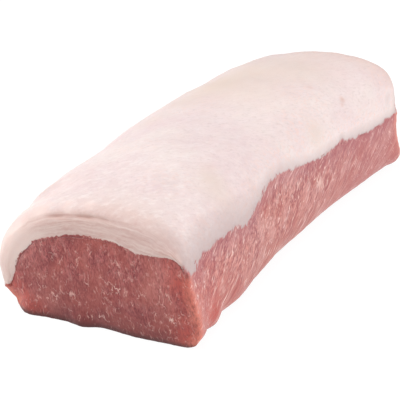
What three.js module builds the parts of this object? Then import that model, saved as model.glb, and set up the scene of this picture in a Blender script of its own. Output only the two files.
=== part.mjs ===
// A boneless pork loin: one long trimmed muscle under a cap of back fat.
// Millimetres, +Z up. +X runs from the near cut face to the far one, +Y points to the belly side,
// which the fat wraps, and -Y to the flank, which is trimmed to the lean meat.
// The origin is on the surface that the loin lies on, under the middle of its box.

import * as THREE from 'three';
import { ImprovedNoise } from 'three/addons/math/ImprovedNoise.js';

// Driving dimensions. A list holds one size at evenly spaced places from the near cut to the far cut.
const LENGTH = 272;
const HEIGHTS = [66.5, 73, 72, 76, 74];
const FLANK_REACH = [60, 57.2, 58.9, 60.8, 61.7, 62, 62, 62, 62, 62, 62, 62, 61.5, 61.5, 61.5, 60.8, 59.5];
const BELLY_REACH = [60.5, 63.8, 62.4, 61.8, 62.5];
const SPINE_BEND = 12;
const NEAR_SKEW = THREE.MathUtils.degToRad(-4);
const FAR_SKEW = THREE.MathUtils.degToRad(-8.6);

// The section: a flank that leans in, a square shoulder, a low crown and a round belly side.
const FLANK_HEEL = 11;
const FLANK_LEAN = [0.35, 0.75];
const BELLY_HEEL = 20;
const SHOULDER_HEIGHTS = [0.65, 0.62, 0.6, 0.62, 0.66];
const SHOULDER_INSETS = [7.5, 7.5, 7.5, 6, 3.5];
const SHOULDER_SQUARENESS = [0.58, 0.58, 0.58, 0.62, 0.8];
const CROWN_OFFSET = -10;
const CROWN_BREADTH = 0.55;
const BELLY_FULLNESS = 0.8;

// The fat cap: its thickness from the flank edge over the crown to the belly edge, and where it stops.
const FAT_THICKNESS = [1, 8, 14.2, 14.5, 13.7, 12.3, 11, 9.4, 4];
const FAT_EDGE_ON_FLANK = [42, 44.3, 43.7, 42, 48.5, 47.5, 41, 40.5, 38.3, 37.5, 38];
const FAT_EDGE_ON_BELLY = [12, 12.5, 14, 13, 12];
const FAT_BAND_SETBACK = 5;
const FAT_BAND_BELLY = 1.4;
const CLEARANCE = 0.4;

// The uneven surface of soft meat, and the slight dome of a fresh cut.
const LUMP_HEIGHT = 1.1;
const LUMP_SPACING = 38;
const CUT_DOME = 1.5;
const CUT_BOW = 0.8;
const CUT_WAVE = 2;
const CUT_WAVE_SPACING = 30;

// How finely the surfaces are divided.
const STATIONS = 28;
const ACROSS = 14;
const UP_THE_SIDE = 10;
const DOWN_THE_BELLY = 4;
const THROUGH_THE_FAT = 2;
const SHOULDER_CROWDING = 1.3;
const HALVINGS = 30;

const noise = new ImprovedNoise();

/** Reads a list of evenly spaced sizes smoothly, at a share from 0 to 1 of its run. */
function sizeAt(sizes, share) {
  const last = sizes.length - 1;
  const curve = new THREE.SplineCurve(sizes.map((size, i) => new THREE.Vector2(i / last, size)));
  return curve.getPoint(share).y;
}

/** The section's outline at a share of the length, from the flank's heel over the crown to the belly. */
function sectionOutline(share) {
  const height = sizeAt(HEIGHTS, share);
  const flank = -sizeAt(FLANK_REACH, share);
  const belly = sizeAt(BELLY_REACH, share);
  const shoulder = flank + sizeAt(SHOULDER_INSETS, share);
  const shoulderHeight = height * sizeAt(SHOULDER_HEIGHTS, share);
  const square = sizeAt(SHOULDER_SQUARENESS, share);
  const { lerp } = THREE.MathUtils;
  const outline = new THREE.Path();
  outline.moveTo(flank + FLANK_HEEL, 0);
  outline.quadraticCurveTo(flank, 0, flank, FLANK_HEEL);
  outline.bezierCurveTo(
    flank, lerp(FLANK_HEEL, shoulderHeight, FLANK_LEAN[0]),
    shoulder, lerp(FLANK_HEEL, shoulderHeight, FLANK_LEAN[1]),
    shoulder, shoulderHeight,
  );
  outline.bezierCurveTo(
    shoulder, lerp(shoulderHeight, height, square),
    lerp(CROWN_OFFSET, shoulder, square), height,
    CROWN_OFFSET, height,
  );
  outline.bezierCurveTo(
    lerp(CROWN_OFFSET, belly, CROWN_BREADTH), height,
    belly, lerp(BELLY_HEEL, height, BELLY_FULLNESS),
    belly, BELLY_HEEL,
  );
  outline.quadraticCurveTo(belly, 0, belly - BELLY_HEEL, 0);
  return outline;
}

/** The share along an outline where it reaches a height, found by halving between two shares. */
function shareAtHeight(outline, height, low, high) {
  let [below, above] = [low, high];
  for (let halving = 0; halving < HALVINGS; halving += 1) {
    const middle = (below + above) / 2;
    if (outline.getPoint(middle).y < height) below = middle;
    else above = middle;
  }
  return (below + above) / 2;
}

/** A point of the outline, moved inwards from the skin by a depth. */
function pointUnderSkin(outline, share, depth) {
  const inside = outline.getTangent(share);
  inside.set(inside.y, -inside.x);
  return outline.getPoint(share).addScaledVector(inside, depth);
}

/** Points in a straight row from one point to another. */
function between(from, to, count) {
  return Array.from({ length: count + 1 }, (_, i) => from.clone().lerp(to, i / count));
}

/** Points spread evenly along an outline between two shares of it. */
function spread(outline, from, to, count) {
  const shareAt = (i) => THREE.MathUtils.lerp(from, to, i / count);
  return Array.from({ length: count + 1 }, (_, i) => outline.getPoint(shareAt(i)));
}

/** Shares of the way over the fat, closest together at the shoulder, where the outline turns most. */
const overTheFat = Array.from({ length: ACROSS + 1 }, (_, i) => (i / ACROSS) ** SHOULDER_CROWDING);

/** Points over the fat between two shares of an outline, under the skin by a part of the fat and a gap. */
function spreadOverFat(outline, from, to, part, gap) {
  return overTheFat.map((run) => {
    const depth = part * sizeAt(FAT_THICKNESS, run) + gap;
    return pointUnderSkin(outline, THREE.MathUtils.lerp(from, to, run), depth);
  });
}

/** How far a knife's cut wanders from a true plane at a point of an end section. */
function cutWave(point, share) {
  if (share > 0 && share < 1) return 0;
  const wave = noise.noise(point.x / CUT_WAVE_SPACING, point.y / CUT_WAVE_SPACING, share + 0.5);
  const foot = 1 - point.y / sizeAt(HEIGHTS, share);
  const bow = foot * (1 - (point.x / sizeAt(BELLY_REACH, share)) ** 2);
  return CUT_WAVE * wave + CUT_BOW * bow * (share === 0 ? -1 : 1);
}

/** Places a section's point in space, raised or sunk a little by the meat's lumps. */
function place(point, share, setback) {
  const skew = THREE.MathUtils.lerp(NEAR_SKEW, FAR_SKEW, share ** 3);
  const bow = SPINE_BEND * (1 - (2 * share - 1) ** 2);
  const x = (share - 0.5) * LENGTH + point.x * Math.sin(skew) + setback + cutWave(point, share);
  const lump = LUMP_HEIGHT * noise.noise(x / LUMP_SPACING, point.x / LUMP_SPACING, point.y / LUMP_SPACING);
  const swell = 1 + lump / sizeAt(BELLY_REACH, share);
  return new THREE.Vector3(x, bow + point.x * Math.cos(skew) * swell, point.y * swell);
}

/** The lean's and the fat's outlines at one station, each as four runs of points round the section. */
function stationRuns(share) {
  const outline = sectionOutline(share);
  const lengths = outline.getCurveLengths();
  const crown = lengths[2] / lengths[4];
  const flankEdge = shareAtHeight(outline, sizeAt(FAT_EDGE_ON_FLANK, share), 0, crown);
  const bellyEdge = shareAtHeight(outline, sizeAt(FAT_EDGE_ON_BELLY, share), 1, crown);
  const gap = CLEARANCE / lengths[4];
  const skin = spreadOverFat(outline, flankEdge, bellyEdge, 0, 0);
  const underside = spreadOverFat(outline, flankEdge, bellyEdge, 1, 0);
  const bed = spreadOverFat(outline, flankEdge - gap, bellyEdge + gap, 1, CLEARANCE);
  const flank = spread(outline, 0, flankEdge - gap, UP_THE_SIDE);
  const belly = spread(outline, bellyEdge + gap, 1, UP_THE_SIDE - DOWN_THE_BELLY - 1);
  const corner = ACROSS - DOWN_THE_BELLY;
  const base = between(belly.at(-1), flank[0], corner + 1);
  return {
    lean: [flank, [flank.at(-1), ...bed.slice(0, corner + 1)], [...bed.slice(corner), ...belly], base],
    fat: [
      between(underside[0], skin[0], THROUGH_THE_FAT),
      skin,
      between(skin.at(-1), underside.at(-1), THROUGH_THE_FAT),
      underside.toReversed(),
    ],
  };
}

/** The inside points of a cut face, blended from its four runs of edge points. */
function cutFace([rise, top, fall, base], dome) {
  const rows = rise.length - 1;
  const columns = top.length - 1;
  const bottom = base.toReversed();
  const right = fall.toReversed();
  const face = [];
  for (let row = 1; row < rows; row += 1) {
    for (let column = 1; column < columns; column += 1) {
      const [v, u] = [row / rows, column / columns];
      const up = bottom[column].clone().lerp(top[column], v);
      const over = rise[row].clone().lerp(right[row], u);
      const corners = rise[0].clone().lerp(right[0], u).lerp(rise.at(-1).clone().lerp(right.at(-1), u), v);
      const bulge = dome * (1 - (2 * u - 1) ** 4) * (1 - (2 * v - 1) ** 2);
      face.push(up.add(over).sub(corners).add(new THREE.Vector3(bulge, 0, 0)));
    }
  }
  return face;
}

/** A closed body from a row of four-sided stations, with a blended cut face at each end. */
function loftedBody(stations, dome) {
  const rows = stations[0][0].length - 1;
  const columns = stations[0][1].length - 1;
  const ringSize = 2 * (rows + columns);
  const points = stations.flatMap((runs) => runs.flatMap((run) => run.slice(0, -1)));
  const triangles = [];
  const quad = (a, b, c, d) => {
    const isShorter = points[a].distanceTo(points[c]) < points[b].distanceTo(points[d]);
    triangles.push(...(isShorter ? [a, c, b, a, d, c] : [a, d, b, b, d, c]));
  };
  for (let station = 0; station < stations.length - 1; station += 1) {
    for (let i = 0; i < ringSize; i += 1) {
      const here = station * ringSize;
      const next = (i + 1) % ringSize;
      quad(here + i, here + next, here + ringSize + next, here + ringSize + i);
    }
  }
  for (const isFar of [false, true]) {
    const ring = isFar ? (stations.length - 1) * ringSize : 0;
    const inside = points.length;
    points.push(...cutFace(stations.at(isFar ? -1 : 0), isFar ? dome : -dome));
    const vertex = (row, column) => {
      if (column === 0) return ring + row;
      if (row === rows) return ring + rows + column;
      if (column === columns) return ring + 2 * rows + columns - row;
      if (row === 0) return ring + (ringSize - column) % ringSize;
      return inside + (row - 1) * (columns - 1) + column - 1;
    };
    for (let row = 0; row < rows; row += 1) {
      for (let column = 0; column < columns; column += 1) {
        const [a, b] = [vertex(row, column), vertex(row, column + 1)];
        const [c, d] = [vertex(row + 1, column + 1), vertex(row + 1, column)];
        if (isFar) quad(d, c, b, a);
        else quad(a, b, c, d);
      }
    }
  }
  const geometry = new THREE.BufferGeometry().setFromPoints(points);
  geometry.setIndex(triangles);
  geometry.computeVertexNormals();
  return geometry;
}

/** How far a point of the fat stands back from the cut, as the knife has rounded the cap's outer edge. */
function fatSetback(share, run, through) {
  if (share > 0 && share < 1) return 0;
  const inward = share === 0 ? 1 : -1;
  const thick = sizeAt(FAT_THICKNESS, run) / Math.max(...FAT_THICKNESS);
  return inward * FAT_BAND_SETBACK * thick * through ** 2;
}

const shares = Array.from({ length: STATIONS + 1 }, (_, i) => i / STATIONS);

/** The lean muscle, from cut to cut, with the bed that the fat lies on. */
function makeLean() {
  const stations = shares.map((share) => (
    stationRuns(share).lean.map((run) => run.map((point) => place(point, share, 0)))
  ));
  const pinkMeat = new THREE.MeshStandardMaterial({ color: '#cf928f', roughness: 0.5, metalness: 0 });
  const lean = new THREE.Mesh(loftedBody(stations, CUT_DOME), pinkMeat);
  lean.name = 'lean';
  return lean;
}

/** The fat cap, thick over the crown and feathered out at both edges. */
function makeFatCap() {
  const stations = shares.map((share) => {
    const [flankSide, skin, bellySide, underside] = stationRuns(share).fat;
    return [
      flankSide.map((point, i) => place(point, share, fatSetback(share, 0, i / THROUGH_THE_FAT))),
      skin.map((point, i) => place(point, share, fatSetback(share, overTheFat[i], 1))),
      bellySide.map((point, i) => place(point, share, fatSetback(share, 1, 1 - i / THROUGH_THE_FAT))),
      underside.map((point) => place(point, share, 0)),
    ];
  });
  const backFat = new THREE.MeshStandardMaterial({ color: '#f1dfdc', roughness: 0.45, metalness: 0 });
  const fatCap = new THREE.Mesh(loftedBody(stations, FAT_BAND_BELLY), backFat);
  fatCap.name = 'fat_cap';
  return fatCap;
}

const loin = new THREE.Group();
loin.add(makeLean(), makeFatCap());
const box = new THREE.Box3().setFromObject(loin);
const middle = box.getCenter(new THREE.Vector3());
loin.position.set(-middle.x, -middle.y, -box.min.z);

export default loin;
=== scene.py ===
# %% [markdown]
# # A raw boneless pork loin
# A pork loin is one long muscle under a cap of back fat. The CAD frame holds both as solids at their
# real size, and this lesson gives them the looks: rounded flesh, torn fibres, a ragged edge where the
# fat was trimmed, and two node materials. Everything is in metres, and sizes are written in
# millimetres and turned to metres by one value.

# %% Load the frame
import math

import bmesh
import bpy
import numpy as np
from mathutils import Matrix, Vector, kdtree, noise
from mathutils.bvhtree import BVHTree


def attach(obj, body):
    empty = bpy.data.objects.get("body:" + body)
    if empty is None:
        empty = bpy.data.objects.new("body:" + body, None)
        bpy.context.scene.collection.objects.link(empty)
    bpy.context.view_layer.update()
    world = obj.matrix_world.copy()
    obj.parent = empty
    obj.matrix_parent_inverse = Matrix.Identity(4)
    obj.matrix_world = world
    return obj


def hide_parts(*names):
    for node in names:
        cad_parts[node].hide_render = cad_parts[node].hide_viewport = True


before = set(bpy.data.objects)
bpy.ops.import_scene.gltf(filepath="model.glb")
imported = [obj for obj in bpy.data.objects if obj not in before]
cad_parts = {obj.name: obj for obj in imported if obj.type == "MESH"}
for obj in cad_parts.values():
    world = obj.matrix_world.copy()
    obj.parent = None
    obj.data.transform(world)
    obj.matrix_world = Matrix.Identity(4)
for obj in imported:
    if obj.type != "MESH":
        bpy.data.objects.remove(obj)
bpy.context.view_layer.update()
MM = 0.001

# %% [markdown]
# ## The camera
# The loin is seen from beyond its near right corner, from a little above. Its long sides hardly
# converge, so the lens is long and far away. The view is turned, tilted and set back from a point
# inside the loin, which is easier to reason about than a camera position.

# %% Place the camera
CAMERA_AZIMUTH = math.radians(-61.5)
CAMERA_ELEVATION = math.radians(24.7)
CAMERA_DISTANCE = 847.4 * MM
CAMERA_LENS = 127.5
SENSOR_WIDTH = 36
camera_target = Vector((-11.5, 1.2, 21.5)) * MM

backwards = Vector((
    math.sin(CAMERA_AZIMUTH) * math.cos(CAMERA_ELEVATION),
    -math.cos(CAMERA_AZIMUTH) * math.cos(CAMERA_ELEVATION),
    math.sin(CAMERA_ELEVATION),
))
camera_data = bpy.data.cameras.new("camera")
camera_data.lens = CAMERA_LENS
camera_data.sensor_width = SENSOR_WIDTH
camera = bpy.data.objects.new("camera", camera_data)
camera.location = camera_target + backwards * CAMERA_DISTANCE
camera.rotation_euler = backwards.to_track_quat("Z", "Y").to_euler()
bpy.context.collection.objects.link(camera)
bpy.context.scene.camera = camera
print("Camera at", [round(v, 3) for v in camera.location], "with a lens of", CAMERA_LENS, "mm")

# %% [markdown]
# ## Rounding the solids
# Raw meat has no facets. The CAD triangles pair up to quads again, and a subdivision surface rounds
# them. The rims of a knife cut stay tighter than the flesh, so their edges get a crease. The result is
# applied, so that the relief of the next steps can move its points.

# %% Make a rounded copy of a solid
WELD = 0.001 * MM
PAIRING_ANGLE = math.radians(60)
LEAN_RIM_ANGLE = math.radians(45)
FAT_RIM_ANGLE = math.radians(65)
RIM_CREASE = 0.7
UPRIGHT_CREASE = 0.25
ROUNDINGS = 3


def is_upright(edge):
    """Whether an edge stands more than it lies."""
    run = edge.verts[1].co - edge.verts[0].co
    return abs(run.z) > abs(run.y) and abs(run.z) > abs(run.x)


def rounded_copy(node_name, piece_name, rim_angle):
    """A new object with the node's form, its facets rounded off and its rims over this angle kept tight."""
    flesh = bmesh.new()
    flesh.from_mesh(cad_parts[node_name].data)
    bmesh.ops.remove_doubles(flesh, verts=flesh.verts, dist=WELD)
    for edge in flesh.edges:
        edge.smooth = edge.calc_face_angle() < rim_angle
    bmesh.ops.join_triangles(
        flesh, faces=flesh.faces, cmp_sharp=True,
        angle_face_threshold=PAIRING_ANGLE, angle_shape_threshold=PAIRING_ANGLE,
    )
    crease = flesh.edges.layers.float.new("crease_edge")
    for edge in flesh.edges:
        tight = UPRIGHT_CREASE if is_upright(edge) else RIM_CREASE
        edge[crease] = 0 if edge.smooth else tight
    mesh = bpy.data.meshes.new(piece_name)
    flesh.to_mesh(mesh)
    flesh.free()
    piece = bpy.data.objects.new(piece_name, mesh)
    bpy.context.collection.objects.link(piece)
    piece.modifiers.new("rounding", "SUBSURF").levels = ROUNDINGS
    rounded = piece.evaluated_get(bpy.context.evaluated_depsgraph_get())
    piece.data = bpy.data.meshes.new_from_object(rounded)
    piece.modifiers.clear()
    piece.data.name = piece_name
    piece.data.shade_smooth()
    print(piece_name, "has", len(piece.data.polygons), "faces")
    return piece


lean = rounded_copy("lean", "lean_meat", LEAN_RIM_ANGLE)
fat = rounded_copy("fat_cap", "back_fat", FAT_RIM_ANGLE)

# %% [markdown]
# ## Tools for points
# A mesh can be read into arrays, changed all at once and written back, which is much faster than a loop
# over its points. Noise, smooth steps and the distance to the nearest point are all that the shapes
# below need.

# %% Read and write a mesh as arrays
def points_of(piece):
    """The piece's points, one row each."""
    rows = np.empty(len(piece.data.vertices) * 3)
    piece.data.vertices.foreach_get("co", rows)
    return rows.reshape(-1, 3)


def normals_of(piece):
    """The direction that the surface faces at each point."""
    rows = np.empty(len(piece.data.vertices) * 3)
    piece.data.vertex_normals.foreach_get("vector", rows)
    return rows.reshape(-1, 3)


def edges_of(piece):
    """The two points of each edge."""
    pairs = np.empty(len(piece.data.edges) * 2, dtype=np.int32)
    piece.data.edges.foreach_get("vertices", pairs)
    return pairs.reshape(-1, 2)


def move_points(piece, points):
    """Puts the piece's points at new places, none of them below the surface that it lies on."""
    points[:, 2] = np.maximum(points[:, 2], 0)
    piece.data.vertices.foreach_set("co", points.ravel())
    piece.data.update()


def keep_on_points(piece, name, values):
    """Stores one number a point, for the material to read by name."""
    layer = piece.data.attributes.new(name, "FLOAT", "POINT")
    layer.data.foreach_set("value", np.asarray(values, dtype=np.float32))


# %% Noise, steps and distances
def bumps(points, widths, octaves=2):
    """Noise from about -1 to 1 whose bumps have these widths in mm along the three axes."""
    scaled = points / (np.array(widths) * MM)
    return np.array([noise.fractal(Vector(point), 1.0, 2.0, octaves) for point in scaled])


def step(low, high, values):
    """A smooth step from 0 at low to 1 at high."""
    share = np.clip((values - low) / (high - low), 0, 1)
    return share * share * (3 - 2 * share)


def near_places(points, places):
    """One number a point, from places that each have a middle and a reach in mm and an amount."""
    total = np.zeros(len(points))
    for middle, reach, amount in places:
        away = np.linalg.norm(points - np.array(middle) * MM, axis=1)
        total += amount * (1 - step(0, reach * MM, away))
    return total


def search_tree(points):
    """A tree that finds the nearest of these points."""
    tree = kdtree.KDTree(len(points))
    for number, point in enumerate(points):
        tree.insert(Vector(point), number)
    tree.balance()
    return tree


def distances(tree, points):
    """How far each point is from the nearest one in the tree."""
    return np.array([tree.find(Vector(point))[2] for point in points])


# %% [markdown]
# ## The lean meat
# Muscle is a bundle of fibres. They run aslant here, so the flank shows them as long streaks and the
# cut ends show them end on, as grain. One noise, stretched along the fibres, gives both. Near the
# board the fibres bend towards the length of the loin. The flank sags in soft lumps, a few of them
# at its foot, the cuts are flatter, and the underside stays flat, because it lies on a board.

# %% Shape the lean
FIBRE = Vector((0.75, -0.1, 0.65)).normalized()
FIBRE_RELIEF = 0.2 * MM
FIBRE_WIDTHS = (2.4, 2.4, 20)
LUMP_RELIEF = 0.5 * MM
LUMP_WIDTHS = (16, 16, 16)
LUMPS_LOST_ON_CUT = 0.5
CUT_RELIEF = 0.2 * MM
CUT_WIDTHS = (2.2, 2.2, 9)
CUT_FACING = (0.6, 0.9)
UNDERSIDE_FACING = (0.5, 0.9)
BEND_HEIGHT = 26 * MM
BEND = 18 * MM
LEAN_LUMPS = (
    ((-141, 34, 0), 13, 2.6),
    ((-139, 2, 0), 11, 2.6),
    ((-142, 44, 7), 9, -2.4),
    ((-124, -63, 3), 9, 0.8),
    ((-109, -61, 3), 13, 3.0),
    ((-78, -57, 2), 26, 1.5),
    ((143, -66, 8), 15, 2.2),
)

fibre_turn = FIBRE.to_track_quat("Z", "Y")
fibre_axes = np.array(fibre_turn.to_matrix())
normals = normals_of(lean)
points = points_of(lean)
points += normals * (near_places(points, LEAN_LUMPS) * MM)[:, None]
lean_cut = step(*CUT_FACING, np.abs(normals[:, 0]))
lean_open = 1 - step(*UNDERSIDE_FACING, -normals[:, 2])
bend = BEND * np.clip(1 - points[:, 2] / BEND_HEIGHT, 0, 1) ** 2
along_fibres = (points + bend[:, None] * (1, 0, 0)) @ fibre_axes
relief = FIBRE_RELIEF * bumps(along_fibres, FIBRE_WIDTHS) * (1 - lean_cut)
relief += LUMP_RELIEF * bumps(points, LUMP_WIDTHS) * (1 - LUMPS_LOST_ON_CUT * lean_cut)
relief += CUT_RELIEF * bumps(along_fibres, CUT_WIDTHS) * lean_cut
move_points(lean, points + normals * (relief * lean_open)[:, None])
print("Relief of the lean in mm:", round(relief.min() / MM, 2), "to", round(relief.max() / MM, 2))

# %% [markdown]
# ## Where the fat is thick and thin
# Two distances say where a point of the fat is: how deep the lean lies under it, and how far it is
# from the rim where the fat ends. The rim is found by looking at the neighbours of each point: it runs
# where a point that faces outwards has a neighbour that faces the lean.

# %% Measure the depth of the fat
INNER_FACING = 0.35

lean_surface = BVHTree.FromObject(lean, bpy.context.evaluated_depsgraph_get())
fat_edges = edges_of(fat)
fat_points = points_of(fat)
fat_normals = normals_of(fat)
lean_spots = np.array([lean_surface.find_nearest(Vector(point))[0] for point in fat_points])
fat_depth = np.linalg.norm(lean_spots - fat_points, axis=1)
towards_lean = ((lean_spots - fat_points) * fat_normals).sum(axis=1) / fat_depth
is_inner = towards_lean > INNER_FACING
print("Thickest fat in mm:", round(fat_depth[~is_inner].max() / MM, 1))

# %% Find the rim and the way out of it
RIM_NEIGHBOURHOOD = 5 * MM

mixed_edges = fat_edges[is_inner[fat_edges[:, 0]] != is_inner[fat_edges[:, 1]]]
rim_rows = np.unique(mixed_edges[~is_inner[mixed_edges]])
outer_tree = search_tree(fat_points[~is_inner])
rim_outward = []
for row in rim_rows:
    spot = Vector(fat_points[row])
    around = [place for place, _, _ in outer_tree.find_range(spot, RIM_NEIGHBOURHOOD)]
    rim_outward.append((spot - sum(around, Vector()) / len(around)).normalized())
rim_outward = np.array(rim_outward)
rim_tree = search_tree(fat_points[rim_rows])
rim_found = [rim_tree.find(Vector(point)) for point in fat_points]
rim_number = np.array([found[1] for found in rim_found])
from_rim = np.array([found[2] for found in rim_found])
print("The fat's rim has", len(rim_rows), "points")

# %% [markdown]
# ## Rolling the fat over at the cuts
# The knife drags on soft fat, so its top rolls over into the cut instead of meeting it at an edge. A
# bevel would have one radius all along. Here the points near the edge are pulled to the middle of
# their neighbours again and again, which lets the roll widen towards the flank. On the belly side the
# fat is firmer, so the pull fades there, and the edge swells out first to make up for what the passes
# draw in. The far cut keeps a tighter edge. Whether a point is on a cut is a fourth number of the
# point, and the passes soften it along with the shape.

# %% Roll the top into the cuts
ROLL_PASSES = 200
ROLL_PULL = 0.6
ROLL_PLACES = (-50 * MM, 0, 35 * MM)
ROLL_REACH = (30 * MM, 26 * MM, 16 * MM)
ROLL_START = 0.2
ROLL_CLEAR = (2 * MM, 6 * MM)
FAR_ROLL = 0.1
FIRMNESS = 0.9
FIRM_PLACES = (-35 * MM, 5 * MM)
RIDGE_TURN = (0.3, 0.75)
RIDGE_DEPTH = 3 * MM
BELLY_PLACES = (0, 45 * MM)
SWELL = 3.0 * MM
FAT_LUMPS = (
    ((131, -25, 74), 42, 2.6),
    ((-48, 44, 63), 42, -3.2),
    ((-112, 48, 58), 24, 2.0),
    ((-134, 58, 38), 26, 1.3),
    ((138, -50, 58), 22, 2.0),
)

turn = np.abs(fat_normals[:, 0])
is_ridge = (turn > RIDGE_TURN[0]) & (turn < RIDGE_TURN[1]) & (fat_depth > RIDGE_DEPTH) & ~is_inner
ridge_tree = search_tree(fat_points[is_ridge])
to_ridge = distances(ridge_tree, fat_points)
roll_reach = np.interp(fat_points[:, 1], ROLL_PLACES, ROLL_REACH)
near_ridge = 1 - step(ROLL_START, 1, to_ridge / roll_reach)
near_ridge *= step(*ROLL_CLEAR, from_rim) * ~is_inner
near_ridge *= np.where(fat_points[:, 0] < 0, 1, FAR_ROLL)
on_belly = step(*BELLY_PLACES, fat_points[:, 1])
rolled = fat_points + fat_normals * (SWELL * near_ridge * on_belly)[:, None]
rolled += fat_normals * (near_places(fat_points, FAT_LUMPS) * MM * ~is_inner)[:, None]
rolled = np.column_stack([rolled, step(*RIDGE_TURN, turn)])
pull = ROLL_PULL * near_ridge * (1 - FIRMNESS * step(*FIRM_PLACES, fat_points[:, 1]))
neighbours = np.bincount(fat_edges.ravel(), minlength=len(fat_points))


def middle_of_neighbours(rows):
    """For each point of the fat, the mean of its neighbours' rows."""
    total = np.empty_like(rows)
    for column in range(rows.shape[1]):
        ends = rows[fat_edges, column]
        total[:, column] = np.bincount(fat_edges[:, 0], ends[:, 1], len(rows))
        total[:, column] += np.bincount(fat_edges[:, 1], ends[:, 0], len(rows))
    return total / neighbours[:, None]


for _ in range(ROLL_PASSES):
    rolled += pull[:, None] * (middle_of_neighbours(rolled) - rolled)
fat_cut = rolled[:, 3]
print("The roll moves points by up to", round(np.abs(rolled[:, :3] - fat_points).max() / MM, 1), "mm")
move_points(fat, rolled[:, :3].copy())
fat_points = points_of(fat)
fat_normals = normals_of(fat)
fat_layer = fat_depth / (fat_depth + to_ridge)

# %% [markdown]
# ## The edge of the fat
# Where a knife trims a loin, the fat thins to nothing and ends in ragged tongues that lie on the lean.
# The solid stops short of the lean with a blunt edge. So the rim slides outwards by an uneven length
# and is laid just over the lean's surface, and the underside near it is tucked into the lean. On a cut
# the tongues are shorter, because the knife went straight through. A few passes over the neighbours
# even out the slides, so that none of them cross at the corner of a cut. A tucked point keeps a small
# share of its own place, so that no two of them fall together.

# %% Slide the rim out and lay it on the lean
TONGUE_LEAST = (3.0 * MM, 1.8 * MM, 1.2 * MM)
TONGUE_PLACES = (-130 * MM, -20 * MM, 130 * MM)
TONGUE_SPAN = 2.6 * MM
TONGUE_WIDTHS = (5, 5, 5)
TONGUE_MIDDLE = 0.5
TONGUE_NICKS = ((71, 5, -5), (-57, 24, 3), (-122, 14, 2))
TONGUE_REACH = 9 * MM
CUT_TONGUES = (((-136, -35, 51), 18, 6.0), ((-138, 1, 56), 26, -3.2))
LEAST_LOST_ON_CUT = 0.55
SPAN_LOST_ON_CUT = 0.6
EVENING_PASSES = 6
EVENING_SHARE = 0.5
LANDING = 1.2 * MM
LAP = 0.25 * MM
TUCK = 0.5 * MM
OWN_SHARE = 0.05

near_rim = 1 - step(0, TONGUE_REACH, from_rim)
ragged = np.maximum(TONGUE_MIDDLE + bumps(fat_points, TONGUE_WIDTHS, 3), 0)
least = np.interp(fat_points[:, 0], TONGUE_PLACES, TONGUE_LEAST)
for nick_place, nick_width, nick_length in TONGUE_NICKS:
    from_nick = np.abs(fat_points[:, 0] - nick_place * MM)
    nick = nick_length * MM * (1 - step(0, nick_width * MM, from_nick))
    least = least + nick * (fat_points[:, 1] < 0)
least += near_places(fat_points, CUT_TONGUES) * MM
edge_cut = fat_cut[rim_rows][rim_number]
least = least * (1 - LEAST_LOST_ON_CUT * edge_cut)
span = TONGUE_SPAN * ragged * (1 - SPAN_LOST_ON_CUT * edge_cut)
slide = near_rim * (least + span)
shift = rim_outward[rim_number] * slide[:, None]
for _ in range(EVENING_PASSES):
    shift = (1 - EVENING_SHARE) * shift + EVENING_SHARE * middle_of_neighbours(shift)
laid = fat_points + shift
beyond = step(0, LANDING, slide - from_rim)
for row in np.flatnonzero(from_rim < TONGUE_REACH):
    spot, facing, _, _ = lean_surface.find_nearest(Vector(laid[row]))
    offset = Vector(laid[row]) - spot
    rise = offset.dot(facing)
    if is_inner[row]:
        laid[row] = spot - facing * TUCK + offset * OWN_SHARE
    elif rise < LAP:
        laid[row] = spot + facing * LAP
    else:
        laid[row] += np.array(facing) * (LAP - rise) * beyond[row]
print(np.count_nonzero(beyond), "points of the fat lie on the lean")

# %% [markdown]
# ## The relief of the fat
# Back fat sets firm, with shallow dents and fine creases along the loin. The band at a cut shows how
# the fat grew, in thin layers that follow the arch of the muscle. They draw together where the fat
# gets thin, so a layer is a share of the way from the lean to the top, and the layers are noise along
# that share. The rolled edge is a lip with a groove under it, and both pucker into small folds.

# %% Shape the fat
DENT_RELIEF = 0.45 * MM
DENT_WIDTHS = (20, 14, 14)
CREASE_RELIEF = 0.12 * MM
CREASE_WIDTHS = (9, 3.5, 3.5)
LAYER_RELIEF = 0.16 * MM
LAYER_WIDTHS = (1, 1, 1)
LAYER_COUNT = 7
LAYER_STRETCH = 22
FOLD_RELIEF = 0.6 * MM
FOLD_WIDTHS = (0.7, 1, 1)
FOLD_LAYERS = (0.45, 0.75)
FLANK_FOLDS = 0.3
SMOOTH_RIM = (1 * MM, 8 * MM)

layer_places = np.column_stack([fat_layer * LAYER_COUNT * MM, fat_points[:, 1:] / LAYER_STRETCH])
folds = bumps(layer_places, FOLD_WIDTHS) * step(*FOLD_LAYERS, fat_layer)
folds *= FLANK_FOLDS + (1 - FLANK_FOLDS) * on_belly
relief = DENT_RELIEF * bumps(fat_points, DENT_WIDTHS) * (1 - fat_cut)
relief += CREASE_RELIEF * bumps(fat_points, CREASE_WIDTHS) * (1 - fat_cut)
relief += LAYER_RELIEF * bumps(layer_places, LAYER_WIDTHS) * fat_cut
print("Largest fold in mm:", round(np.abs(FOLD_RELIEF * folds).max() / MM, 2))

# %% Press the groove under the lip
GROOVE_DEPTH = 1.1 * MM
GROOVE_PLACES = (-28 * MM, 0, 20 * MM, 38 * MM)
GROOVE_SHARES = (0, 1, 1, 0)
GROOVE_LAYER = 0.85
GROOVE_WIDTH = 0.08
GROOVE_WAVES = (8, 8, 8)
GROOVE_MIDDLE = 0.6
GROOVE_SWING = 0.9
GROOVE_MOST = 1.2

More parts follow.
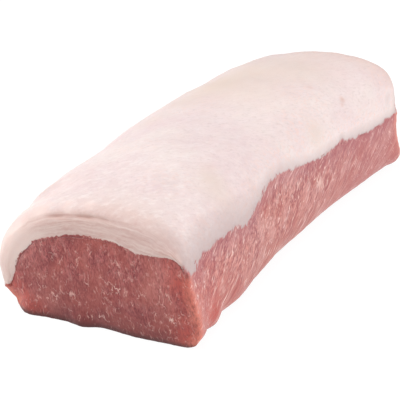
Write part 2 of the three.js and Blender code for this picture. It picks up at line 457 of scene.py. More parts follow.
groove = np.exp(-((fat_layer - GROOVE_LAYER) / GROOVE_WIDTH) ** 2) * fat_cut
groove *= np.interp(fat_points[:, 1], GROOVE_PLACES, GROOVE_SHARES) * (fat_points[:, 0] < 0)
groove *= np.clip(GROOVE_MIDDLE + GROOVE_SWING * bumps(fat_points, GROOVE_WAVES), 0, GROOVE_MOST)
relief += FOLD_RELIEF * folds - GROOVE_DEPTH * groove
relief *= step(*SMOOTH_RIM, from_rim) * ~is_inner
move_points(fat, laid + fat_normals * relief[:, None])
print("Relief of the fat in mm:", round(relief.min() / MM, 2), "to", round(relief.max() / MM, 2))

# %% [markdown]
# ## Numbers for the materials
# A material can only see where it is. What it needs to know about its surroundings is measured here
# and stored on the points: how far inside the fat's rim it is, whether it is on a cut, and how far it
# is from an upright corner between a cut and the skin. Skin is bare lean that faces sideways, clear of
# the fat. Both pieces get the same numbers, so that one pattern can run across their seam. A few marks
# are chance, such as a blood spot or a knot of marbling, and a few are painted light and shade. They
# are lists of places, each with a middle and a reach in mm and an amount.

# %% Choose the places of the chance marks and of painted light and shade
BLOOD_PLACES = (
    ((-136, -49, 47), 8, 0.7),
    ((-136, -55, 37), 11, 0.8),
    ((-136, -57, 8), 11, 0.5),
    ((-142, 42, 15), 13, 0.5),
    ((-142, 36, 6), 12, 0.6),
    ((-142, 27, 5), 10, 0.5),
    ((-127, -64, 12), 15, 0.5),
    ((-129, -62, 29), 12, 0.4),
    ((-112, -60, 22), 34, 0.45),
    ((-112, -61, 11), 14, 0.75),
    ((-80, -58, 8), 22, 0.3),
)
# Places where the cut is pinker: the flesh's own tone on its left, and painted light on its right part
PINK_AND_LIT_PLACES = (
    ((-137, -40, 44), 14, 0.4),
    ((-136, -50, 44), 13, 0.7),
    ((-137, -42, 32), 13, 1.0),
    ((-137, -47, 18), 14, 0.6),
    ((-142, 34, 8), 13, 0.6),
    ((-142, 21, 8), 12, 1.0),
    ((-142, 36, 34), 16, 0.35),
    ((-141, 28, 46), 12, 0.35),
    ((-142, 24, 18), 16, 0.35),
)
MARBLED_PLACES = (
    ((-139, -19, 26), 5, 1.0),
    ((-137, -50, 14), 5, 1.0),
    ((-137, -45, 27), 5, 0.7),
    ((-142, 18, 13), 6, 0.5),
    ((-141, 8, 17), 6, 0.5),
    ((-139, -9, 7), 6, 0.6),
    ((-140, 0, 30), 7, 0.3),
    ((-141, 20, 38), 8, 0.3),
    # On the flank these places also lift the pale streaks, which are partly painted highlights
    ((36, -56, 25), 9, 0.7),
    ((13, -57, 18), 9, 0.1),
    ((88, -61, 19), 10, 0.4),
    ((-34, -54, 29), 7, 0.2),
    ((-85, -58, 27), 14, 0.15),
)
# Places where the fat is yellowed, and where painted shade darkens it along the belly-side contour and at
# the far end
YELLOWED_AND_SHADED_PLACES = (
    ((48, 5, 75), 48, 0.7),
    ((92, -12, 75), 42, 0.7),
    ((-67, -35, 67), 15, 0.5),
    ((-75, -45, 60), 20, 0.5),
    ((43, -49, 55), 14, 0.6),
    ((100, 26, 70), 30, 0.5),
    ((-12, 35, 67), 18, 0.4),
    ((18, 31, 69), 22, 0.5),
    ((46, 25, 71), 26, 0.6),
    ((72, 17, 74), 26, 0.5),
)
# Painted light: places where the fat is made lighter, at the near left of the band, and painted highlights
# along the lip
PAINTED_LIGHT_PLACES = (
    ((-140, 44, 40), 34, 0.9),
    ((-136, 28, 61), 9, 0.6),
    ((-132, 15, 67), 8, 0.6),
    ((-130, 3, 69), 8, 0.6),
    ((-107, 36, 62), 30, 0.25),
)
STAIN_PLACES = (
    ((83, -48, 63), 3.5, 0.5),
    ((80, -50, 61), 2.5, 0.4),
    ((70, -32, 73), 3.0, 0.25),
    ((-100, -48, 57), 6.0, 0.15),
    ((-43, -48, 55), 7.0, 0.15),
    ((-59, -32, 68), 5.0, 0.1),
)
SHEER_PLACES = (-130 * MM, -60 * MM, -35 * MM)
SHEER_REACH = (17 * MM, 15 * MM, 7 * MM)
MEAT_MARKS = {"blood": BLOOD_PLACES, "pinker_and_lit": PINK_AND_LIT_PLACES, "marbled": MARBLED_PLACES}
FAT_MARKS = {"yellowed_and_shaded": YELLOWED_AND_SHADED_PLACES, "painted_light": PAINTED_LIGHT_PLACES, "stained": STAIN_PLACES}
for name, marks in (MEAT_MARKS | FAT_MARKS).items():
    print(name, "at", len(marks), "places")

# %% Measure and store
SKIN_CUT = 0.3
SKIN_CLEAR = 1.5 * MM
SKIN_FACING = 0.6
HALF_CUT = 0.5

fat_surface = BVHTree.FromObject(fat, bpy.context.evaluated_depsgraph_get())
points = points_of(lean)
to_fat = np.array([fat_surface.find_nearest(Vector(point))[3] for point in points])
is_skin = (lean_cut < SKIN_CUT) & (to_fat > SKIN_CLEAR) & (np.abs(normals[:, 1]) > SKIN_FACING)
skin_tree = search_tree(points[is_skin])
cut_tree = search_tree(points[lean_cut > HALF_CUT])
into_fat = np.where(is_inner, 0, from_rim)
lean_tree = search_tree(points)
lean_rows = [lean_tree.find(Vector(point))[1] for point in points_of(fat)]
rim_cut = np.maximum(lean_cut[lean_rows], fat_cut)
rim_cut = fat_cut + (rim_cut - fat_cut) * near_rim
for piece, on_cut, inside in ((lean, lean_cut, -to_fat), (fat, rim_cut, into_fat)):
    places = points_of(piece)
    corner = np.maximum(distances(skin_tree, places), distances(cut_tree, places))
    keep_on_points(piece, "on_cut", on_cut)
    keep_on_points(piece, "into_fat", inside / MM)
    keep_on_points(piece, "from_corner", corner / MM)
    for name, marks in MEAT_MARKS.items():
        keep_on_points(piece, name, near_places(places, marks))
keep_on_points(fat, "fat_layer", fat_layer)
for name, marks in FAT_MARKS.items():
    keep_on_points(fat, name, near_places(fat_points, marks))
keep_on_points(fat, "grooved", groove)
sheer_reach = np.interp(fat_points[:, 0], SHEER_PLACES, SHEER_REACH)
keep_on_points(fat, "sheer", np.clip(1 - from_rim / sheer_reach, 0, 1) * (1 - fat_cut))
print("Points of the lean's skin:", np.count_nonzero(is_skin))

# %% [markdown]
# ## Building a material
# Every material below is a tree of nodes. One helper adds a node, sets it up and links it. Colours are
# written as sRGB hex values, as a colour picker gives them, and turned to the linear values that the
# shaders use. A Mix node has sockets of the same names for numbers and for colours, so its sockets are
# chosen by number.

# %% Helpers for the materials
FACTOR = 0
UNDER, OVER, MIXED = 6, 7, 2
UNDER_NUMBER, OVER_NUMBER, MIXED_NUMBER = 2, 3, 0


def linear(hex_colour):
    """An sRGB hex colour as linear red, green, blue and alpha."""
    shares = [int(hex_colour[i:i + 2], 16) / 255 for i in (1, 3, 5)]
    return (*[s / 12.92 if s <= 0.04045 else ((s + 0.055) / 1.055) ** 2.4 for s in shares], 1)


def add_node(tree, kind, values=None, links=None, **settings):
    """A new node, with values for its inputs, links into them and settings of its own."""
    node = tree.nodes.new(kind)
    for name, setting in settings.items():
        setattr(node, name, setting)
    for socket, value in (values or {}).items():
        node.inputs[socket].default_value = value
    for socket, source in (links or {}).items():
        tree.links.new(source, node.inputs[socket])
    return node


def new_material(name):
    """An empty node material and its tree."""
    material = bpy.data.materials.new(name)
    material.use_nodes = True
    material.node_tree.nodes.clear()
    return material, material.node_tree


# %% [markdown]
# ## The colours of raw muscle
# Raw pork is translucent pink flesh. Pale threads of connective tissue lie between its bundles of
# fibres: long streaks on the flank, short flecks on a cut, where the knife smeared them downwards. Some
# pale streaks on the flank are also painted highlights, for the glints of its wet skin. So there are two
# frames for the patterns, one along the fibres and one along the knife. The colours are a node group,
# because two materials use them: the muscle, and the fat, whose thin edge lets the muscle show
# through. Each pattern has a frame, a width and a length in mm, a detail and a roughness.

# %% Noise along the fibres and along the knife
KNIFE = Vector((0, 0.2, 0.98))
# A single fibre is under 0.1 mm wide, too fine to show, so the finest patterns are bundles of 0.8 mm
MUSCLE_PATTERNS = {
    "fibres": ("fibre", 0.8, 15, 3, 0.6),
    "bundles": ("fibre", 1.5, 24, 3, 0.55),
    "patches": ("fibre", 7, 26, 2, 0.55),
    "threads": ("fibre", 2.2, 28, 1, 0.5),
    "gaps": ("fibre", 3.2, 13, 2, 0.6),
    "blush": ("fibre", 13, 26, 2, 0.5),
    "fringe": ("fibre", 1.7, 6, 2, 0.6),
    "grain": ("knife", 0.9, 2.2, 3, 0.65),
    "clumps": ("knife", 5, 9, 2, 0.55),
    "strokes": ("knife", 2.6, 5, 2, 0.5),
    "breaks": ("knife", 3.2, 4.5, 2, 0.6),
}

paint = bpy.data.node_groups.new("muscle_paint", "ShaderNodeTree")
straight = add_node(paint, "ShaderNodeTexCoord").outputs["Object"]
axes = add_node(paint, "ShaderNodeSeparateXYZ", None, {"Vector": straight}).outputs
measure = {"length": axes["X"], "height": axes["Z"]}
depth = add_node(
    paint, "ShaderNodeMapRange", {"From Min": BEND_HEIGHT, "From Max": 0}, {"Value": measure["height"]},
).outputs["Result"]
depth = add_node(paint, "ShaderNodeMath", {1: 2}, {0: depth}, operation="POWER").outputs["Value"]
bend = add_node(paint, "ShaderNodeMath", {1: BEND}, {0: depth}, operation="MULTIPLY").outputs["Value"]
bend = add_node(paint, "ShaderNodeCombineXYZ", None, {"X": bend}).outputs["Vector"]
bent = add_node(
    paint, "ShaderNodeVectorMath", None, {0: straight, 1: bend}, operation="ADD",
).outputs["Vector"]
knife_turn = KNIFE.to_track_quat("Z", "Y")
frames = {"fibre": (bent, fibre_turn.to_euler()), "knife": (straight, knife_turn.to_euler())}
for name, (frame_name, width, length, detail, roughness) in MUSCLE_PATTERNS.items():
    place, angles = frames[frame_name]
    space = add_node(
        paint, "ShaderNodeMapping",
        {"Rotation": angles, "Scale": (width * MM, width * MM, length * MM)},
        {"Vector": place}, vector_type="TEXTURE",
    )
    measure[name] = add_node(
        paint, "ShaderNodeTexNoise", {"Scale": 1, "Detail": detail, "Roughness": roughness},
        {"Vector": space.outputs["Vector"]},
    ).outputs["Fac"]
for name in ("on_cut", "into_fat", "from_corner", "blood", "pinker_and_lit", "marbled"):
    measure[name] = add_node(paint, "ShaderNodeAttribute", attribute_name=name).outputs["Fac"]
print("Patterns of the muscle:", ", ".join(MUSCLE_PATTERNS))

# %% [markdown]
# A thread is where a noise passes through its middle value, which draws thin wavy lines. A second
# noise breaks them up, and more of them show at the marbled places. Towards the far end of the flank
# the long threads and streaks fade, and short flecks take over.

# %% Threads between the bundles
MARBLING = 0.2
NOISE_MIDDLE = 0.5

for name in ("threads", "strokes"):
    apart = add_node(
        paint, "ShaderNodeMath", {1: NOISE_MIDDLE}, {0: measure[name]}, operation="SUBTRACT",
    ).outputs["Value"]
    measure[name] = add_node(
        paint, "ShaderNodeMath", None, {0: apart}, operation="ABSOLUTE",
    ).outputs["Value"]
for name in ("breaks", "gaps", "bundles"):
    measure[name] = add_node(
        paint, "ShaderNodeMath", {1: MARBLING}, {0: measure["marbled"], 2: measure[name]},
        operation="MULTIPLY_ADD",
    ).outputs["Value"]
print("A marbled place lifts the noise by up to", MARBLING)

# %% [markdown]
# A share says how much of a colour shows at a place, from 0 to 1. Each one takes a pattern or a measure
# from its first to its second value, and gives the third to the fourth. Products of two shares put a
# pattern where it belongs, such as the flecks on a cut. A share can also be a roughness, as the waxy
# one of the fat is.

# %% Turn the patterns to shares
MUSCLE_SHARES = {
    "pale_grain": ("grain", 0.38, 0.62, 0, 1),
    "pale_fibre": ("fibres", 0.36, 0.64, 0, 1),
    "orange_blush": ("blush", 0.4, 0.68, 0, 0.5),
    "blush_more": ("blush", 0.3, 0.6, 0.35, 1),
    "corner_grain": ("grain", 0.36, 0.64, 0.3, 1),
    "dark_patch": ("patches", 0.5, 0.34, 0, 0.6),
    "pale_patch": ("patches", 0.52, 0.68, 0, 0.5),
    "dark_clump": ("clumps", 0.52, 0.3, 0, 0.6),
    "pale_clump": ("clumps", 0.52, 0.72, 0, 0.5),
    "thread_line": ("threads", 0.012, 0.06, 1, 0),
    "stroke_line": ("strokes", 0.005, 0.045, 1, 0),
    "stroke_shown": ("breaks", 0.48, 0.72, 0, 0.9),
    "thread_shown": ("gaps", 0.5, 0.7, 0, 0.9),
    "knotted": ("marbled", 0.2, 1, 0, 0.7),
    "pink": ("pinker_and_lit", 0, 1, 0, 1),
    "pale_streak": ("bundles", 0.56, 0.76, 0, 0.7),
    "raised": ("height", 4 * MM, 18 * MM, 0.35, 1),
    "far": ("length", 0, 100 * MM, 0, 0.6),
    "not_far": ("length", 40 * MM, 115 * MM, 1, 0.35),
    "farthest": ("length", 40 * MM, 115 * MM, 0, 0.8),
    "blood_share": ("blood", 0, 1, 0, 0.85),
    # near_corner: painted light, a red-orange glow where light shines through the thin upright corner
    "near_corner": ("from_corner", 17, 2, 0, 0.85),
    # at_corner: a painted highlight along that corner
    "at_corner": ("from_corner", 6, 1, 0, 0.9),
    "corner_side": ("on_cut", 0, 1, 0.4, 1),
    # near_fat: painted shade on the flank just below the edge of the fat
    "near_fat": ("into_fat", -9, -1, 0, 0.5),
    # above_foot: painted shade, with a redder tone, low on the flank
    "above_foot": ("height", 24 * MM, 5 * MM, 0, 0.75),
    "off_cut": ("on_cut", 0, 1, 1, 0),
    # foot: painted shade, a dark rim where the lean meets the board
    "foot": ("height", 3.6 * MM, 0.7 * MM, 0, 0.9),
    # low and lowest: painted shade, a cut darker towards the board
    "low": ("height", 34 * MM, 4 * MM, 0, 0.5),
    "lowest": ("height", 11 * MM, 1 * MM, 0, 0.55),
}

share = {"on_cut": measure["on_cut"]}
for name, (source, low, high, first, last) in MUSCLE_SHARES.items():
    share[name] = add_node(
        paint, "ShaderNodeMapRange",
        {"From Min": low, "From Max": high, "To Min": first, "To Max": last}, {"Value": measure[source]},
    ).outputs["Result"]
print("Shares of the muscle:", len(share))

# %% Multiply the shares
MUSCLE_PRODUCTS = (
    ("thread_dashes", "thread_line", "thread_shown"),
    ("near_dashes", "thread_dashes", "not_far"),
    ("flank_threads", "near_dashes", "off_cut"),
    ("stroke_dashes", "stroke_line", "stroke_shown"),
    ("flecks", "stroke_dashes", "on_cut"),
    ("far_dashes", "stroke_dashes", "farthest"),
    ("far_flecks", "far_dashes", "off_cut"),
    ("knot_lines", "stroke_line", "knotted"),
    ("knots", "knot_lines", "on_cut"),
    ("pink_grain", "pink", "corner_grain"),
    ("pink_cut", "pink_grain", "on_cut"),
    ("high_streaks", "pale_streak", "raised"),
    ("near_streaks", "high_streaks", "not_far"),
    ("streaks", "near_streaks", "off_cut"),
    ("far_flank", "far", "off_cut"),
    ("dark_strips", "dark_patch", "off_cut"),
    ("pale_strips", "pale_patch", "off_cut"),
    ("low_flank", "above_foot", "off_cut"),
    ("painted_shade_under_fat", "near_fat", "off_cut"),
    ("corner_band", "near_corner", "corner_side"),
    ("corner_patches", "corner_band", "blush_more"),
    ("corner", "corner_patches", "corner_grain"),
    ("bloody", "blood_share", "corner_grain"),
    ("painted_corner_highlight", "at_corner", "corner_grain"),
    ("low_cut", "low", "on_cut"),
    ("lowest_cut", "lowest", "on_cut"),
    ("dark_bundles", "dark_clump", "on_cut"),
    ("pale_bundles", "pale_clump", "on_cut"),
)

for name, first, second in MUSCLE_PRODUCTS:
    share[name] = add_node(
        paint, "ShaderNodeMath", None, {0: share[first], 1: share[second]}, operation="MULTIPLY",
    ).outputs["Value"]
print("Products of shares:", len(MUSCLE_PRODUCTS))

# %% Lay the colours over each other
FLANK_COLOURS = ("#8b4046", "#db9b92")
CUT_COLOURS = ("#7b3236", "#b86260")
MUSCLE_COATS = (
    ("dark_strips", "#9a464b"),
    ("pale_strips", "#dba59d"),
    ("dark_bundles", "#7c3335"),
    ("pale_bundles", "#c37f79"),
    ("orange_blush", "#b65f53"),
    # low_flank: a redder tone and painted shade towards the foot of the flank
    ("low_flank", "#ad6056"),
    ("far_flank", "#b26a69"),
    # Painted shade on the flank under the fat's edge, a darker mauve
    ("painted_shade_under_fat", "#a96269"),
    # pink_cut: a pinker tone, with painted light on the right of the near cut
    ("pink_cut", "#c77b74"),
    # low_cut and lowest_cut: painted shade, darker towards the bottom of a cut
    ("low_cut", "#7e3432"),
    ("lowest_cut", "#5f2426"),
    # corner: painted glow of light through the corner, broken by the grain; then a painted highlight on it
    ("corner", "#d26353"),
    ("painted_corner_highlight", "#e7937f"),
    ("bloody", "#c04d43"),
    # streaks: pale connective tissue, partly painted glints of the wet skin
    ("streaks", "#ecc4ba"),
    ("flank_threads", "#f1d0c7"),
    ("far_flecks", "#ecc6be"),
    ("flecks", "#e0ada3"),
    ("knots", "#efcdc3"),
    # foot: painted shade where the lean meets the board
    ("foot", "#4f2020"),
)

flank, cut = [
    add_node(
        paint, "ShaderNodeMix", {UNDER: linear(dark), OVER: linear(pale)}, {FACTOR: share[name]},
        data_type="RGBA",
    ).outputs[MIXED]
    for name, (dark, pale) in (("pale_fibre", FLANK_COLOURS), ("pale_grain", CUT_COLOURS))
]
colour = add_node(
    paint, "ShaderNodeMix", None, {FACTOR: measure["on_cut"], UNDER: flank, OVER: cut}, data_type="RGBA",
).outputs[MIXED]
for name, coat in MUSCLE_COATS:
    colour = add_node(
        paint, "ShaderNodeMix", {OVER: linear(coat)}, {FACTOR: share[name], UNDER: colour},
        data_type="RGBA",
    ).outputs[MIXED]
print("Coats on the muscle:", ", ".join(name for name, _ in MUSCLE_COATS))

# %% [markdown]
# On the flank the fat ends in a soft fringe along the fibres. On a cut its edge is crisp. So the start,
# the end and the length of the fringe in mm each have one value for the flank and one for a cut.

# %% Let the fat end in a fringe
FRINGE = {"start": (1.3, 0.7), "end": (2.3, 1.1), "length": (5.5, 2.8)}

fringe = {
    name: add_node(
        paint, "ShaderNodeMapRange", {"To Min": on_flank, "To Max": on_a_cut}, {"Value": measure["on_cut"]},
    ).outputs["Result"]
    for name, (on_flank, on_a_cut) in FRINGE.items()
}
fringe_length = add_node(
    paint, "ShaderNodeMath", None, {0: fringe["length"], 1: share["blush_more"]}, operation="MULTIPLY",
).outputs["Value"]
fringe_swing = add_node(
    paint, "ShaderNodeMath", {1: NOISE_MIDDLE}, {0: measure["fringe"]}, operation="SUBTRACT",
).outputs["Value"]
fringed = add_node(
    paint, "ShaderNodeMath", None, {0: fringe_swing, 1: fringe_length, 2: measure["into_fat"]},
    operation="MULTIPLY_ADD",
).outputs["Value"]
fat_share = add_node(
    paint, "ShaderNodeMapRange", None,
    {"Value": fringed, "From Min": fringe["start"], "From Max": fringe["end"]},
).outputs["Result"]
print("Fringe in mm, on the flank and on a cut:", FRINGE)

# %% Close the group
grain = add_node(
    paint, "ShaderNodeMix", None,
    {FACTOR: measure["on_cut"], UNDER_NUMBER: measure["fibres"], OVER_NUMBER: measure["grain"]},
).outputs[MIXED_NUMBER]
outputs = {
    "Colour": ("NodeSocketColor", colour),
    "Grain": ("NodeSocketFloat", grain),
    "Fat": ("NodeSocketFloat", fat_share),
}
for name, (kind, _) in outputs.items():
    paint.interface.new_socket(name, in_out="OUTPUT", socket_type=kind)
add_node(paint, "NodeGroupOutput", None, {name: source for name, (_, source) in outputs.items()})
print("muscle_paint has", len(paint.nodes), "nodes")

# %% [markdown]
# ## Raw muscle
# The muscle was sliced by a knife and is moist. Light sinks in and comes out redder, and the wet skin
# gives small soft glints. The film of moisture is uneven, so the roughness wanders in soft patches. A
# few wisps of fat stay on it beside the rim of the fat.

# %% Finish the muscle
FILM_WIDTH = 6 * MM
WISP_COLOUR = "#d9bdb8"

muscle, tree = new_material("raw_pork_muscle")
place = add_node(tree, "ShaderNodeTexCoord").outputs["Object"]
film = add_node(
    tree, "ShaderNodeTexNoise", {"Scale": 1 / FILM_WIDTH, "Detail": 3}, {"Vector": place},
).outputs["Fac"]
moist = add_node(
    tree, "ShaderNodeMapRange", {"From Min": 0.3, "From Max": 0.7, "To Min": 0.34, "To Max": 0.5},
    {"Value": film},
).outputs["Result"]
painted = add_node(tree, "ShaderNodeGroup", node_tree=paint).outputs
wisped = add_node(
    tree, "ShaderNodeMix", {OVER: linear(WISP_COLOUR)}, {FACTOR: painted["Fat"], UNDER: painted["Colour"]},
    data_type="RGBA",
).outputs[MIXED]
moist_bump = add_node(
    tree, "ShaderNodeBump", {"Strength": 0.6, "Distance": 0.4 * MM}, {"Height": painted["Grain"]},
).outputs["Normal"]
flesh = add_node(
    tree, "ShaderNodeBsdfPrincipled",
    {
        "IOR": 1.4, "Subsurface Weight": 0.25, "Subsurface Scale": 3 * MM,
        "Subsurface Radius": (1, 0.35, 0.25), "Coat Weight": 0.1, "Coat Roughness": 0.25,
    },
    {"Base Color": wisped, "Roughness": moist, "Normal": moist_bump},
)
add_node(tree, "ShaderNodeOutputMaterial", None, {"Surface": flesh.outputs["BSDF"]})
lean.data.materials.clear()
lean.data.materials.append(muscle)
print("raw_pork_muscle has", len(tree.nodes), "nodes")

# %% [markdown]
# ## Back fat
# Pork back fat is firm, waxy and off-white, with a pink cast where blood stains it. It was peeled and
# trimmed by a knife, so it has a satin skin with faint scratches and pale strokes, all aslant to the
# loin. Where it is thin, the lean shows through and greys it. The band at a cut shows its layers. Each
# pattern has its widths in mm along the scratches, across them and upwards, and a detail.

# %% Patterns of the fat
# Pores are about 0.5 mm wide and a scratch is finer still, so both are drawn coarser to show
FAT_PATTERNS = {
    "patches": ((36, 26, 26), 2),
    "mottle": ((7, 5, 5), 3),
    "scratches": ((10, 1.4, 1.4), 3),
    "lobules": ((2.6, 2.2, 2.2), 2),
    "pores": ((2.4, 1.5, 1.5), 2),
    "waves": ((9, 9, 9), 2),
    "brush": ((5, 3.2, 3.2), 3),
}
PATTERN_ROUGHNESS = 0.6
SCRATCH_TURN = math.radians(-38)

backfat, tree = new_material("pork_back_fat")
place = add_node(tree, "ShaderNodeTexCoord").outputs["Object"]
axes = add_node(tree, "ShaderNodeSeparateXYZ", None, {"Vector": place}).outputs
measure = {
    name: add_node(tree, "ShaderNodeAttribute", attribute_name=name).outputs["Fac"]
    for name in ("on_cut", "into_fat", "fat_layer", "yellowed_and_shaded", "painted_light", "stained", "grooved", "sheer")
}
for name, (widths, detail) in FAT_PATTERNS.items():
    space = add_node(
        tree, "ShaderNodeMapping",
        {"Rotation": (0, 0, SCRATCH_TURN), "Scale": [width * MM for width in widths]},
        {"Vector": place}, vector_type="TEXTURE",
    )
    measure[name] = add_node(
        tree, "ShaderNodeTexNoise", {"Scale": 1, "Detail": detail, "Roughness": PATTERN_ROUGHNESS},
        {"Vector": space.outputs["Vector"]},
    ).outputs["Fac"]
measure.update({"across": axes["Y"], "length": axes["X"]})
print("Patterns of the fat:", ", ".join(FAT_PATTERNS))

# %% [markdown]
# The layers in the band are noise once more. Its place goes quickly from the lean to the top and slowly
# along the band, which draws it out to thin lines, and a wave lifts them so that none runs straight.

# %% Layers of the fat at a cut
LAYER_WAVE = 2.6
LAYER_RUN = 16 * MM
LINES_PER_LAYER = 2

layer_height = add_node(
    tree, "ShaderNodeMath", {1: LAYER_WAVE}, {0: measure["waves"]}, operation="MULTIPLY",
).outputs["Value"]
layer_height = add_node(
    tree, "ShaderNodeMath", {1: LINES_PER_LAYER * LAYER_COUNT}, {0: measure["fat_layer"], 2: layer_height},
    operation="MULTIPLY_ADD",
).outputs["Value"]
layer_run = add_node(
    tree, "ShaderNodeMapping", {"Scale": (LAYER_RUN,) * 3}, {"Vector": place}, vector_type="TEXTURE",
).outputs["Vector"]
layer_rise = add_node(tree, "ShaderNodeCombineXYZ", None, {"X": layer_height}).outputs["Vector"]
layer_place = add_node(
    tree, "ShaderNodeVectorMath", None, {0: layer_run, 1: layer_rise}, operation="ADD",
).outputs["Vector"]
measure["layers"] = add_node(
    tree, "ShaderNodeTexNoise", {"Scale": 1, "Detail": 4, "Roughness": 0.65}, {"Vector": layer_place},
).outputs["Fac"]
print("Lines in the band:", LINES_PER_LAYER * LAYER_COUNT)

# %% Turn the patterns of the fat to shares
FAT_SHARES = {
    "cream": ("patches", 0.35, 0.65, 0, 1),
    "mottled": ("mottle", 0.4, 0.62, 0, 0.45),
    "scratched": ("scratches", 0.5, 0.72, 0, 0.35),
    "pored": ("pores", 0.54, 0.7, 0, 0.4),
    "lobed": ("lobules", 0.5, 0.66, 0, 0.6),
    "brushed": ("brush", 0.5, 0.7, 0, 0.45),
    "front": ("length", -20 * MM, -100 * MM, 0.2, 1),
    # by_edge: where painted light lifts the fat near its rim
    "by_edge": ("into_fat", 8, 2, 0, 0.75),
    "far_half": ("length", -40 * MM, 20 * MM, 0, 1),
    "chalked": ("lobules", 0.48, 0.68, 0, 0.2),
    "by_rim": ("into_fat", 22, 8, 0, 1),
    # by_ridge: where the painted shade of the rolled edge falls
    "by_ridge": ("fat_layer", 0.3, 0.9, 0, 0.65),
    "flank_half": ("across", 25 * MM, -5 * MM, 0, 1),
    "layered": ("layers", 0.34, 0.66, 0, 1),
    "yellow": ("yellowed_and_shaded", 0, 1, 0, 1),
    "pale": ("painted_light", 0, 1, 0, 1),
    "groove": ("grooved", 0, 1, 0, 1),
    "waxy": ("patches", 0.3, 0.7, 0.48, 0.62),
    "stain": ("stained", 0, 1, 0, 1),
    "thin": ("sheer", 0, 1, 0, 0.85),
}
FAT_PRODUCTS = (
    ("lobes", "lobed", "by_rim"),
    ("rolled", "by_ridge", "flank_half"),
    ("strokes", "brushed", "front"),
    ("edge", "by_edge", "far_half"),
)

share = {}
for name, (source, low, high, first, last) in FAT_SHARES.items():
    share[name] = add_node(
        tree, "ShaderNodeMapRange",
        {"From Min": low, "From Max": high, "To Min": first, "To Max": last}, {"Value": measure[source]},
    ).outputs["Result"]
for name, first, second in FAT_PRODUCTS:
    share[name] = add_node(
        tree, "ShaderNodeMath", None, {0: share[first], 1: share[second]}, operation="MULTIPLY",
    ).outputs["Value"]
print("Shares of the fat:", len(share))

# %% Lay the colours of the fat over each other
SKIN_COLOURS = ("#e2cdcd", "#e6d7d3")
BAND_COLOURS = ("#cca59d", "#e0c9c1")
SKIN_COATS = (
    ("mottled", "#ebdbda"),
    ("scratched", "#d6c3c0"),
    ("pored", "#cdbab7"),
    ("lobes", "#ebc8be"),
    # rolled: painted shade over the rolled edge, towards the flank
    ("rolled", "#d6bab2"),
    ("strokes", "#f4eae7"),
    # edge: painted light on the fat above the flank's rim, on the far half, where it turns down into shade
    ("edge", "#f3e5e1"),
    ("stain", "#cf9c84"),
)
FAT_COATS = (
    ("chalked", "#ead9d4"),
    # yellow: a yellowed tint, also painted shade along the belly-side contour
    ("yellow", "#dfccc2"),
    # pale: painted light, and painted highlights along the lip
    ("pale", "#f4dcd4"),
    # groove: painted shade in the groove under the lip
    ("groove", "#cca59b"),
    ("thin", "#b29c9b"),
)

skin, band = [
    add_node(
        tree, "ShaderNodeMix", {UNDER: linear(dark), OVER: linear(pale)}, {FACTOR: share[name]},
        data_type="RGBA",
    ).outputs[MIXED]
    for name, (dark, pale) in (("cream", SKIN_COLOURS), ("layered", BAND_COLOURS))
]
for name, coat in SKIN_COATS:
    skin = add_node(
        tree, "ShaderNodeMix", {OVER: linear(coat)}, {FACTOR: share[name], UNDER: skin}, data_type="RGBA",
    ).outputs[MIXED]
colour = add_node(
    tree, "ShaderNodeMix", None, {FACTOR: measure["on_cut"], UNDER: skin, OVER: band}, data_type="RGBA",
).outputs[MIXED]
for name, coat in FAT_COATS:
    colour = add_node(
        tree, "ShaderNodeMix", {OVER: linear(coat)}, {FACTOR: share[name], UNDER: colour}, data_type="RGBA",
    ).outputs[MIXED]
print("Coats on the fat:", ", ".join(name for name, _ in SKIN_COATS + FAT_COATS))

# %% Finish the fat
painted = add_node(tree, "ShaderNodeGroup", node_tree=paint).outputs
thinning = add_node(
    tree, "ShaderNodeMix", None, {FACTOR: painted["Fat"], UNDER: painted["Colour"], OVER: colour},
    data_type="RGBA",
).outputs[MIXED]
pitted = add_node(
    tree, "ShaderNodeMath", None, {0: measure["scratches"], 1: measure["lobules"]}, operation="ADD",
).outputs["Value"]
fat_bump = add_node(
    tree, "ShaderNodeBump", {"Strength": 0.3, "Distance": 0.3 * MM}, {"Height": pitted},
).outputs["Normal"]
wax = add_node(
    tree, "ShaderNodeBsdfPrincipled",
    {
        "IOR": 1.45, "Subsurface Weight": 0.3, "Subsurface Scale": 5 * MM,
        "Subsurface Radius": (1, 0.75, 0.65),
    },
    {"Base Color": thinning, "Roughness": share["waxy"], "Normal": fat_bump},
)
add_node(tree, "ShaderNodeOutputMaterial", None, {"Surface": wax.outputs["BSDF"]})
fat.data.materials.clear()
fat.data.materials.append(backfat)
print("pork_back_fat has", len(tree.nodes), "nodes")

# %% [markdown]
# ## Put the pieces on the frame
# Both pieces ride on the one body of the loin and stand for its two solids.

# %% Ride and replace
for piece, node_name in ((lean, "lean"), (fat, "fat_cap")):
    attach(piece, "root")
    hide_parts(node_name)
print("Riding on root:", lean.name, "and", fat.name)

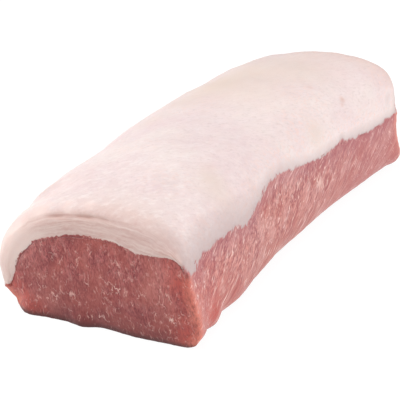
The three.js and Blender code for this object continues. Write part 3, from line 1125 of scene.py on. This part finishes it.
# %% [markdown]
# ## Floor and light
# The loin lies on a plain white sweep under a broad soft light from above and a wide one at each side.
# Nothing shines straight on the near cut, so it stays in shade. The sweep is matt paper that glows as
# lit paper does in a bright studio, so that it comes out white almost up to the loin.

# %% Lay the floor
FLOOR_SIDE = 12.0
FLOOR_DROP = 0.2 * MM
PAPER_COLOUR = "#5a5a5a"
PAPER_GLOW = 0.93
WHITE = (1, 1, 1, 1)

floor_mesh = bpy.data.meshes.new("floor")
half = FLOOR_SIDE / 2
floor_mesh.from_pydata(
    [(-half, -half, 0), (half, -half, 0), (half, half, 0), (-half, half, 0)], [], [(0, 1, 2, 3)],
)
floor = bpy.data.objects.new("floor", floor_mesh)
floor.location.z = -FLOOR_DROP
bpy.context.collection.objects.link(floor)
paper, tree = new_material("white_paper")
sheet = add_node(
    tree, "ShaderNodeBsdfPrincipled",
    {
        "Base Color": linear(PAPER_COLOUR), "Roughness": 0.9,
        "Emission Color": WHITE, "Emission Strength": PAPER_GLOW,
    },
)
add_node(tree, "ShaderNodeOutputMaterial", None, {"Surface": sheet.outputs["BSDF"]})
floor_mesh.materials.append(paper)
print("Floor of", FLOOR_SIDE, "m")

# %% Hang the lights
LIGHT_SIDE = 1.0
LIGHTS = (
    ("overhead", (-0.1, 0.35, 1.2), 10.8),
    ("flank_side", (0.1, -1.3, 0.5), 11.5),
    ("belly_side", (-0.55, 1.2, 0.5), 9.5),
)
ROOM_LIGHT = 0.3

for name, spot, power in LIGHTS:
    light_data = bpy.data.lights.new(name, "AREA")
    light_data.size = LIGHT_SIDE
    light_data.energy = power
    light = bpy.data.objects.new(name, light_data)
    light.location = spot
    light.rotation_euler = Vector(spot).to_track_quat("Z", "Y").to_euler()
    bpy.context.collection.objects.link(light)
    print("Light", name, "of", power, "W")
world = bpy.data.worlds.new("studio")
world.use_nodes = True
world.node_tree.nodes["Background"].inputs["Color"].default_value = WHITE
world.node_tree.nodes["Background"].inputs["Strength"].default_value = ROOM_LIGHT
bpy.context.scene.world = world
bpy.context.scene.view_settings.view_transform = "Standard"
